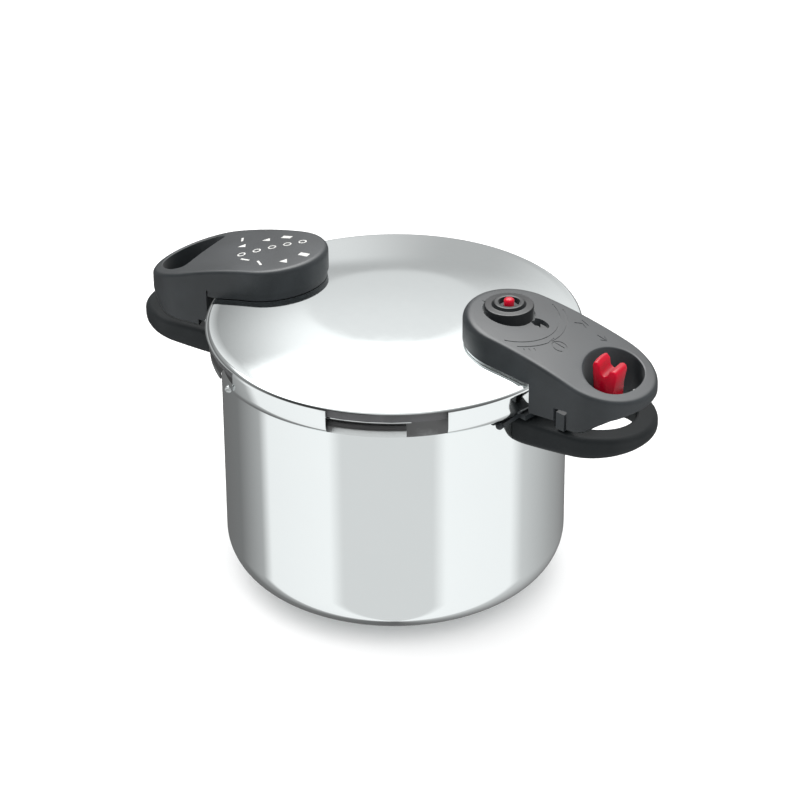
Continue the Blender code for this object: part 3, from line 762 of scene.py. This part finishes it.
def valve_handle_piece():
    def grown(grow):
        return ellipse(THUMB_X, 0, 17.2 + grow, 24.4 + grow)

    name = "lid_handle_right"
    made = lid_handle(name, 1, RIGHT_OUTLINE, valve_handle_top, 14.0, 2.4, 7.0,
                      RIGHT_LIFT, RIGHT_LEG, grown, 1.4)
    combine(made, cylinder("selector_boss", VALVE_X, 0, 20.0, 198.6, 204.0), "UNION")
    combine(made, cylinder("selector_well", VALVE_X, 0, WELL_RADIUS, 203.6, 225, 96))
    combine(made, cylinder("selector_bore", VALVE_X, 0, 7.2, 190, 225))
    combine(made, prism("steam_outlet", ellipse(OUTLET_X, OUTLET_Y, 6.2, 4.4, 48), 189, 226), crossing=True)
    combine(made, sector("keeper_path", 121.0, 140.6, -30.0, 6.5, 150, 162.2))
    combine(made, sector("stop_notch", 140.6, 149.6, -30.0, -10.8, 150, 171.0))
    combine(made, box("lock_channel", (120, -4.2, 150), (146, 4.2, 165.2)))
    combine(made, box("detent_pocket", (129.0, -3.4, 160), (140.5, 3.4, 168.2)))
    marks = on_surface(valve_handle_marks(), 1, valve_handle_top, -0.45, 2.0)
    combine(made, shells_mesh("marks", marks), crossing=True)
    return made


def plain_handle_piece():
    def grown(grow):
        line = arc(145, 0, 27.5 + grow, -75, 75, 40)
        line += arc(149, 22, 4 + grow, 100, 180, 8) + arc(149, -22, 4 + grow, 180, 260, 8)
        return line

    name = "lid_handle_left"
    made = lid_handle(name, -1, LEFT_OUTLINE, plain_handle_top, 4.0, 2.6, 4.6,
                      LEFT_LIFT, LEFT_LEG, grown, 1.2)
    combine(made, sector("leg_relief", 121, 132, 190, 215, 150, 162.0))
    return made


def plain_handle_print():
    """Pale printed signs: plain food shapes that stand for a cooking chart."""
    lines = []
    for i in range(5):
        lines.append(stroke(loop_line(78.0 + 7.6 * i, 15.5 - 6.6 * i, 2.3), 0.9))
    for x, y in ((66.0, -2.0), (93.0, 20.0)):
        lines.append([(x - 3.4, y - 2.0), (x + 3.4, y - 2.0), (x + 3.4, y + 2.0), (x - 3.4, y + 2.0)])
    for x, y in ((73.0, -14.0), (104.0, 14.0), (116.0, 3.0)):
        lines.append([(x - 3.0, y - 2.2), (x + 3.0, y - 2.2), (x, y + 2.6)])
    for x, y, turn in ((88.0, -21.0, 40.0), (101.0, -18.0, 10.0), (124.0, 14.0, 60.0)):
        a = math.radians(turn)
        reach = (3.6 * math.cos(a), 3.6 * math.sin(a))
        lines.append(stroke([(x - reach[0], y - reach[1]), (x + reach[0], y + reach[1])], 1.4))
    shells = on_surface(lines, -1, plain_handle_top, -0.2, 0.05)
    return shells_mesh("print", shells)


def handle_base_piece(side, outline, thickness, leg_radius):
    inset = 0.9
    plan = stadium(outline[0], outline[1] - inset, outline[2], outline[3] - inset)
    if side < 0:
        plan = flipped(plan)
    made = prism("plate", plan, 150, 210)
    reach = leg_radius - PLATE_TO_LEG
    rim = lid_top(LID_DOME_RADIUS) + GAP
    profile = dome_points(GAP + thickness, LID_DOME_RADIUS) + [(reach, rim + thickness), (reach, rim)]
    profile += [(r, z) for r, z in reversed(dome_points(GAP, LID_DOME_RADIUS))]
    combine(made, turned("plate_dome", profile), "INTERSECT")
    if side > 0:
        combine(made, cylinder("plate_valve", VALVE_X, 0, 12.0, 170, 210))
        combine(made, cylinder("plate_safety", SAFETY_X, SAFETY_Y, 6.4, 170, 210))
    for x, y in LID_SCREWS:
        if x * side > 0:
            combine(made, cylinder("plate_screw", x, y, SCREW_HOLE, 170, 210, 32))
    return made


# ---------------------------------------------------------------- pot handles

def pot_handle_piece(side):
    def top(x):
        return POT_HANDLE_TOP - 3.6 * max(0.0, (x - 160.0) / 26.0) ** 1.6

    def bottom(x):
        lean = max(0.0, (x - 112.0) / 74.0)
        return POT_HANDLE_LOW + 5.5 * lean ** 1.7

    def grown(grow):
        line = arc(149, 0, 23 + grow, -90, 90, 32)
        line += arc(134, 19, 4 + grow, 90, 180, 8) + arc(134, -19, 4 + grow, 180, 270, 8)
        return line

    name = f"pot_handle_{'right' if side > 0 else 'left'}"
    made = handle_body(name, side, (116.0, 36.0, POT_HANDLE_TIP - 37.0, 37.0), top, bottom, 3.4, 3.4, 5.0)
    combine(made, flared_hole(f"{name}_grip", side, grown, top, bottom, 3.0))
    combine(made, cylinder(f"{name}_pot", 0, 0, POT_RADIUS + GAP, 120, 170, TURN_STEPS))
    middle = 0.0 if side > 0 else 180.0
    combine(made, sector(f"{name}_pocket", 108, 113.8, middle - 8.6, middle + 8.6, 141.7, 154.3))
    xs = sorted((110 * side, 129 * side))
    combine(made, box(f"{name}_tab_slot", (xs[0], -13.3, 146.2), (xs[1], 13.3, 148.4)))
    for y in POT_SCREW_YS:
        combine(made, cylinder(f"{name}_hole", POT_SCREW_X * side, y, SCREW_HOLE, 130, 153.3, 32))
        combine(made, cylinder(f"{name}_sink", POT_SCREW_X * side, y, 4.3, 130, 141.7, 40))
    return made


# ---------------------------------------------------------------- valve and lock

def knob_piece():
    """Selector knob: a flat disc with a raised ring round the indicator's cup."""
    disc = KNOB_TOP - 1.9
    edge = KNOB_HIGH[0] - VALVE_X
    profile = arc(8.6, KNOB_TOP - 1.3, 1.3, 100, 20, 6) + arc(11.2, disc + 0.5, 0.5, 200, 270, 3)
    profile += arc(edge - 1.2, disc - 1.2, 1.2, 88, 0, 6)
    profile += [(edge, KNOB_LOW[2] + 0.4), (edge - 0.4, KNOB_LOW[2]), (6.6, KNOB_LOW[2]), (6.6, 209.8)]
    profile += [(3.8, 209.8), (3.8, 211.6), (6.0, 211.6), (6.3, 212.0), (6.5, KNOB_TOP - 0.8)]
    profile += arc(7.3, KNOB_TOP - 0.8, 0.8, 170, 100, 4)
    return turned("knob", profile, VALVE_X, 0, 96)


def indicator_piece():
    dome = [(3.3 * math.sin(math.radians(a)), 215.8 + 1.8 * math.cos(math.radians(a)))
            for a in range(0, 91, 10)]
    profile = dome + [(3.3, 210.0), (3.1, 209.7), (1.6, 208.4), (1.6, 198.2), (3.9, 198.2)]
    profile += [(3.9, 196.6), (1.6, 196.6), (1.6, 180.9), (1.2, 180.5), (0, 180.5)]
    return turned("pin", profile, VALVE_X, 0, 40)


def button_piece():
    """Saddle-shaped thumb slide with a low valley between its two horns."""
    low, high = edges_mm("lock_button")
    back, front = low[0] + 0.5, high[0] - 0.5
    middle = (back + front) / 2
    side = [(back + 1.6, 165.0), (front - 2.0, 165.0), (front - 1.6, 176.0), (front + 0.3, 186.6)]
    side += [(front - 0.2, 188.9), (front - 2.4, 190.1), (front - 5.0, 189.2), (middle + 2.2, 185.4)]
    side += [(middle - 0.4, 184.6), (middle - 2.8, 186.4), (back + 5.4, 191.4), (back + 3.0, 193.9)]
    side += [(back + 0.9, 193.2), (back + 0.2, 190.6), (back + 1.0, 178.0)]
    rings = []
    for share in (-1.0, -0.86, -0.5, 0.0, 0.5, 0.86, 1.0):
        tuck = 1.0 - 0.06 * share * share
        cx, cz = middle, 179.0
        rings.append([(cx + (x - cx) * tuck, 7.4 * share, cz + (z - cz) * (1.0 - 0.04 * share * share))
                      for x, z in side])
    made = shells_mesh("button", [rings])
    bevel = made.modifiers.new("round", "BEVEL")
    bevel.width = 0.9 * MM
    bevel.segments = 3
    bevel.limit_method = "ANGLE"
    bevel.angle_limit = math.radians(28)
    return apply_modifiers(made)


# ---------------------------------------------------------------- materials

POLISHED = steel("polished_steel", 0.88, 0.07, 0.02, (1, 1, 14), 160.0, 0.015)
BASE_STEEL = steel("base_steel", 0.74, 0.24, 0.05, (1, 1, 1), 260.0, 0.05)
SATIN = steel("satin_steel", 0.62, 0.32, 0.06, (1, 1, 20), 420.0, 0.08)
ALUMINIUM = steel("aluminium", 0.70, 0.38, 0.06, (1, 1, 1), 300.0, 0.10)
# Steel with painted shade, for faces that lie close behind other pieces.
PAINTED_SHADE_STEEL = steel_with_painted_shade("steel_painted_shade", 0.15, 0.78, 0.50, 0.20)
BLACK = plastic("black_plastic", rgb(0.015, 0.018, 0.020), rgb(0.021, 0.025, 0.028), 0.42,
                shine=0.32, top_shine=1.0)
# A darker, duller copy of the black plastic for the pot handles: the darker colour is painted shade.
SHADED_BLACK = plastic("shaded_black_plastic", rgb(0.010, 0.012, 0.013), rgb(0.015, 0.017, 0.018), 0.45,
                      shine=0.12, top_shine=0.12)
# A darker copy of the black plastic: the darker colour is painted shade on the knob's side wall; the top is
# glossier.
KNOB_BLACK = plastic("knob_plastic", rgb(0.006, 0.007, 0.008), rgb(0.010, 0.011, 0.012), 0.30,
                     grain=700.0, strength=0.08, shine=0.08, top_shine=1.0)
RED = plastic("red_plastic", rgb(0.37, 0.001, 0.012), rgb(0.44, 0.002, 0.020), 0.20,
              grain=400.0, strength=0.03, shine=0.12, top_shine=0.6)
SILICONE = plastic("silicone", rgb(0.055, 0.056, 0.058), rgb(0.075, 0.076, 0.080), 0.62,
                   grain=500.0, strength=0.10)
PRINT = plastic("pale_print", rgb(0.60, 0.60, 0.58), rgb(0.72, 0.72, 0.70), 0.50,
                grain=1100.0, strength=0.10)
BY_SLOT = {
    "polished_steel": POLISHED,
    "satin_steel": SATIN,
    "aluminium": ALUMINIUM,
    "black_plastic": BLACK,
    "red_plastic": RED,
    "silicone": SILICONE,
}

# ---------------------------------------------------------------- what takes the place of what

INSIDE_POD = ("safety_valve_body", "safety_plunger", "safety_spring", "valve_body", "valve_washer",
              "indicator_spring", "lock_detent_spring", "lock_bolt",
              "lid_handle_screw_1", "lid_handle_screw_2", "lid_handle_screw_3")


def dress_frame():
    """Materials for the CAD nodes that stay; those inside the lid handles take the steel with painted shade
    and aren't mirrored in the lid.
    """
    for name, node in frame["nodes"].items():
        material = PAINTED_SHADE_STEEL if name in INSIDE_POD else BY_SLOT[SLOT_OF[name]]
        for row in node.material_slots:
            row.material = material
        if name in INSIDE_POD:
            node.visible_glossy = False


def lid_painted_shade_faces(centre, normal):
    """True for the faces of the lid that take painted shade: its underside, its tongues, the inner side of
    its skirt and a patch round the steam outlet.
    """
    radius = math.hypot(centre.x, centre.y)
    tongue = radius < TONGUE_REACH and TONGUE_LOW < centre.z < TONGUE_HIGH
    radial = Vector((centre.x, centre.y, 0.0)).normalized().dot(normal)
    shaded = math.hypot(centre.x - OUTLET_X, centre.y - OUTLET_Y) < OUTLET_SHADE
    return shaded or tongue or radial < -0.1 or (normal.z < -0.5 and centre.z > WINDOW_TOP - 4.0)


def plate_painted_shade_faces(centre, normal):
    """True for the plate's top face, which lies inside the valve handle and takes painted shade."""
    return normal.z > 0.5


def pot_painted_shade_faces(centre, normal):
    """True for the outer wall and the rim where the lid's skirt covers them; these take painted shade."""
    radius = math.hypot(centre.x, centre.y)
    radial = Vector((centre.x, centre.y, 0.0)).normalized().dot(normal)
    return centre.z > SHADED_WALL_Z and radius < NOTCH_RADIUS - 0.5 and radial > -0.1


def build_pieces():
    stand_for(pot_piece(), "pot_body", POLISHED, 32.0, PAINTED_SHADE_STEEL, pot_painted_shade_faces)
    stand_for(base_cap_piece(), "base_cap", BASE_STEEL)
    stand_for(lid_piece(), "lid_shell", POLISHED, 32.0, PAINTED_SHADE_STEEL, lid_painted_shade_faces)
    stand_for(valve_handle_piece(), "lid_handle_right", BLACK, mirrored=False)
    stand_for(plain_handle_piece(), "lid_handle_left", BLACK, mirrored=False)
    stand_for(handle_base_piece(1, RIGHT_OUTLINE, RIGHT_PLATE, RIGHT_LEG), "handle_base_right", SATIN,
              32.0, PAINTED_SHADE_STEEL, plate_painted_shade_faces)
    stand_for(handle_base_piece(-1, LEFT_OUTLINE, LEFT_PLATE, LEFT_LEG), "handle_base_left", BLACK)
    stand_for(pot_handle_piece(1), "pot_handle_right", SHADED_BLACK)
    stand_for(pot_handle_piece(-1), "pot_handle_left", SHADED_BLACK)
    stand_for(knob_piece(), "selector_knob", KNOB_BLACK, mirrored=False)
    stand_for(indicator_piece(), "pressure_indicator", RED, mirrored=False)
    stand_for(button_piece(), "lock_button", RED, 40.0, mirrored=False)
    extra(plain_handle_print(), "handle_print_left", "lid", PRINT)


# ---------------------------------------------------------------- light, floor and camera

VIEW_AZIMUTH = math.radians(31.0)
VIEW_RISE = math.radians(30.74)
VIEW_ROLL = math.radians(-0.48)
VIEW_DISTANCE = 2.2
VIEW_TARGET = Vector((0.0, 0.0, 0.080))
LENS = 150.95
SHIFT_X = 0.0063
SHIFT_Y = 0.0659
FLOOR_REACH = 6.0
AMBIENT = 1.50
LAMP = 5.0


def studio_world():
    """White behind the object, even white on matt faces, and panels that only reflections show."""
    world = bpy.data.worlds.new("studio")
    bpy.context.scene.world = world
    world.use_nodes = True
    nodes = Nodes(world.node_tree)
    way = nodes.add("ShaderNodeTexCoord").outputs["Generated"]
    turn = nodes.add("ShaderNodeVectorRotate",
                     {"Vector": way, "Axis": (0, 0, 1), "Angle": -VIEW_AZIMUTH}, rotation_type="AXIS_ANGLE")
    parts = nodes.add("ShaderNodeSeparateXYZ", {0: turn.outputs[0]})
    right, ahead, up = parts.outputs
    side = nodes.math("ARCTAN2", right, nodes.math("MULTIPLY", ahead, -1.0))
    degrees = nodes.math("MULTIPLY", side, 180.0 / math.pi)
    ramp = nodes.add("ShaderNodeValToRGB", {0: nodes.share(degrees, -180.0, 180.0)})
    stops = ((0.00, 0.14), (0.14, 0.20), (0.215, 0.44), (0.240, 1.00), (0.375, 1.06), (0.400, 0.77),
             (0.570, 0.77), (0.595, 1.07), (0.735, 1.04), (0.765, 0.66), (0.86, 0.42), (1.00, 0.14))
    line = ramp.color_ramp
    while len(line.elements) > 1:
        line.elements.remove(line.elements[-1])
    line.elements[0].position = stops[0][0]
    line.elements[0].color = rgb(stops[0][1], stops[0][1], stops[0][1])
    for place, value in stops[1:]:
        element = line.elements.new(place)
        element.color = rgb(value, value, value)
    above = nodes.span(up, -0.02, 0.10)
    back_wall = nodes.span(up, 0.27, 0.62, 0.50, 1.25)
    back_wall = nodes.math("MULTIPLY", back_wall, nodes.span(right, -0.28, -0.10, 0.30, 1.0))
    edge_glow = nodes.math("MULTIPLY", nodes.span(right, 0.10, 0.22), nodes.span(up, 0.55, 0.25))
    back_wall = nodes.math("ADD", back_wall, nodes.math("MULTIPLY", edge_glow, 0.35))
    strip = nodes.math("MULTIPLY", nodes.span(up, 0.30, 0.22), nodes.span(right, 0.06, -0.06))
    back_wall = nodes.math("ADD", back_wall, nodes.math("MULTIPLY", strip, 0.30))
    across = nodes.math("DIVIDE", right, 0.115)
    along = nodes.math("DIVIDE", nodes.math("SUBTRACT", up, 0.470), 0.155)
    reach = nodes.math("ADD", nodes.math("MULTIPLY", across, across), nodes.math("MULTIPLY", along, along))
    panel = nodes.span(up, 0.32, 0.62, 0.76, 0.92)
    sky = nodes.mix(nodes.span(reach, 1.12, 0.88), back_wall, panel)
    lamp = nodes.math("MULTIPLY", nodes.span(up, 0.60, 0.78), nodes.span(right, 0.62, 0.10, 0.3, 1.0))
    sky = nodes.mix(lamp, sky, rgb(LAMP, LAMP, LAMP))
    front = nodes.span(ahead, -0.45, 0.20, 0.17, 1.0)
    sky = nodes.mix(front, rgb(0.0, 0.0, 0.0), sky)
    glow = nodes.mix(above, ramp.outputs[0], sky)
    path = nodes.add("ShaderNodeLightPath").outputs
    colour = nodes.mix(path["Is Diffuse Ray"], glow, rgb(AMBIENT, AMBIENT, AMBIENT))
    colour = nodes.mix(path["Is Camera Ray"], colour, rgb(1, 1, 1))
    shade = nodes.add("ShaderNodeBackground", {"Color": colour, "Strength": 1.0})
    out = nodes.add("ShaderNodeOutputWorld")
    nodes.tree.links.new(shade.outputs[0], out.inputs["Surface"])


def area_light(name, place, size, power, glossy):
    data = bpy.data.lights.new(name, "AREA")
    data.shape = "DISK"
    data.size = size
    data.energy = power
    lamp = link(bpy.data.objects.new(name, data))
    lamp.location = place
    lamp.rotation_euler = (VIEW_TARGET - Vector(place)).to_track_quat("-Z", "Y").to_euler()
    lamp.visible_glossy = glossy
    return lamp


def studio_floor():
    half = FLOOR_REACH / MM
    made = prism("floor", [(-half, -half), (half, -half), (half, half), (-half, half)], -4.0, -0.2)
    material, nodes, shader, place = new_material("floor_white")
    cloud = nodes.noise(place, 3.0, 2.0)
    nodes.feed(shader, "Base Color", nodes.mix(cloud, rgb(0.93, 0.93, 0.93), rgb(0.95, 0.95, 0.95)))
    shader.inputs["Roughness"].default_value = 0.9
    shader.inputs["Specular IOR Level"].default_value = 0.0
    made.data.materials.append(material)
    made.visible_glossy = False


def photo_camera():
    data = bpy.data.cameras.new("camera")
    data.lens = LENS
    data.sensor_width = 36.0
    data.shift_x = SHIFT_X
    data.shift_y = SHIFT_Y
    data.clip_end = 50.0
    made = link(bpy.data.objects.new("camera", data))
    flat = math.cos(VIEW_RISE)
    back = Vector((math.sin(VIEW_AZIMUTH) * flat, -math.cos(VIEW_AZIMUTH) * flat, math.sin(VIEW_RISE)))
    right = Vector((math.cos(VIEW_AZIMUTH), math.sin(VIEW_AZIMUTH), 0.0))
    up = back.cross(right)
    turn = Matrix((right, up, back)).transposed().to_4x4()
    place = Matrix.Translation(VIEW_TARGET + back * VIEW_DISTANCE)
    made.matrix_world = place @ turn @ Matrix.Rotation(VIEW_ROLL, 4, "Z")
    bpy.context.scene.camera = made


bpy.context.scene.view_settings.view_transform = "Standard"
dress_frame()
build_pieces()
studio_world()
studio_floor()
area_light("key", (0.9, 1.6, 2.4), 2.4, 3.0, False)
photo_camera()
